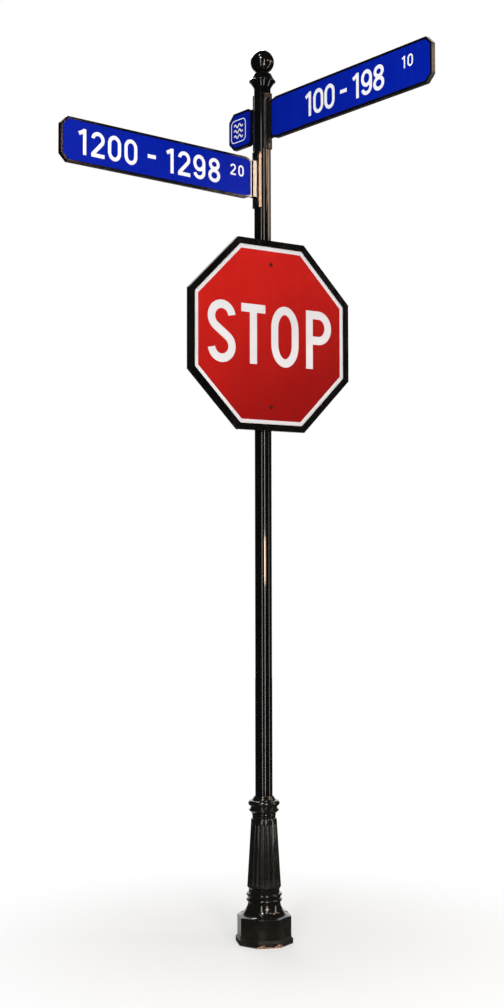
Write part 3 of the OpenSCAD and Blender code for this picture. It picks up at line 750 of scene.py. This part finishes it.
def softbox(name, spot, target, width, height, watts, colour=(1.0, 1.0, 1.0), lights=True):
    """A rectangular lamp at a spot, turned to a target, with its height upright, unseen by the camera.
    One that lights nothing is seen in reflections only."""
    lamp = bpy.data.lights.new(name, "AREA")
    lamp.shape = "RECTANGLE"
    lamp.color = colour
    lamp.size, lamp.size_y, lamp.energy = width, height, watts
    box = bpy.data.objects.new(name, lamp)
    back = np.array(spot, dtype=float) - np.array(target, dtype=float)
    back /= np.linalg.norm(back)
    right = np.cross((0, 0, 1), back)
    right /= np.linalg.norm(right)
    turn = np.column_stack([right, np.cross(back, right), back])
    box.matrix_world = Matrix.Translation(spot) @ Matrix(turn.tolist()).to_4x4()
    box.visible_camera = False
    box.visible_diffuse = lights
    bpy.context.scene.collection.objects.link(box)


softbox("key", (-2.6, -2.2, 5.6), (0.0, -0.06, 2.9), 0.5, 0.5, 40)
softbox("strip_left", (-2.5, -2.0, 2.3), (0.0, 0.0, 2.2), 0.24, 4.4, 23)
softbox("strip_front", (-0.76, -3.11, 2.3), (0.0, 0.0, 2.2), 0.24, 4.4, 34, (1.0, 0.97, 0.94))
softbox("strip_right", (2.49, -2.01, 2.3), (0.0, 0.0, 2.2), 0.3, 4.4, 20, (1.0, 0.92, 0.84))
softbox("spark_top", (-1.64, -0.6, 6.2), (0.0, 0.0, 3.76), 0.3, 0.3, 10)
softbox("spark_right", (1.07, -3.14, 4.15), (-0.03, -0.03, 3.24), 0.12, 0.46, 9, COPPER)
softbox("spark_end", (2.34, -2.73, 4.5), (0.1, -1.0, 3.5), 0.16, 0.16, 0.4, WARM)
softbox("spark_tip", (2.02, 0.25, 5.51), (0.1, -1.0, 3.56), 0.2, 0.2, 0.14)
softbox("spark_cheek", (2.44, -2.49, 4.19), (-0.05, -0.02, 3.24), 0.07, 0.3, 3.6, WARM)
softbox("warm_side", (5.36, -2.72, 4.8), (0.0, 0.0, 3.2), 4.0, 0.8, 24, COPPER, lights=False)
softbox("spark_low", (-0.77, -3.13, 1.62), (0.0, 0.0, 1.6), 0.6, 0.3, 12, WARM)
softbox("spark_flank", (-0.6, -3.2, 1.62), (0.0, 0.0, 1.6), 1.6, 0.28, 9, COPPER)
softbox("back", (1.1, 3.4, 6.6), (0.0, 0.0, 2.6), 2.4, 1.8, 110)

# Camera. It stands at the photograph's viewpoint: in front and to the left of the sign, at eye height,
# tipped up a little.

CAMERA_TURN = np.radians(-32.98)
CAMERA_AWAY = 6.1045
CAMERA_ASIDE = -0.0482
EYE = 1.5853
TIP_UP = np.radians(2.46)
ROLL = np.radians(-0.11)
FOCAL_PIXELS = 1429.8
LONG_SIDE = 1008
SENSOR = 36.0

ahead = np.array([-np.sin(CAMERA_TURN), np.cos(CAMERA_TURN), 0.0])
aside = np.array([np.cos(CAMERA_TURN), np.sin(CAMERA_TURN), 0.0])
up = np.array([0.0, 0.0, 1.0])
stand = EYE * up - CAMERA_AWAY * ahead + CAMERA_ASIDE * aside
look = np.cos(TIP_UP) * ahead + np.sin(TIP_UP) * up
tall = np.cos(TIP_UP) * up - np.sin(TIP_UP) * ahead
camera_x = np.cos(ROLL) * aside + np.sin(ROLL) * tall
camera_y = np.cos(ROLL) * tall - np.sin(ROLL) * aside
lens = bpy.data.cameras.new("camera")
lens.sensor_width = SENSOR
lens.lens = FOCAL_PIXELS * SENSOR / LONG_SIDE
camera = bpy.data.objects.new("camera", lens)
turn = Matrix(np.column_stack([camera_x, camera_y, -look]).tolist()).to_4x4()
camera.matrix_world = Matrix.Translation(stand) @ turn
bpy.context.scene.collection.objects.link(camera)
bpy.context.scene.camera = camera
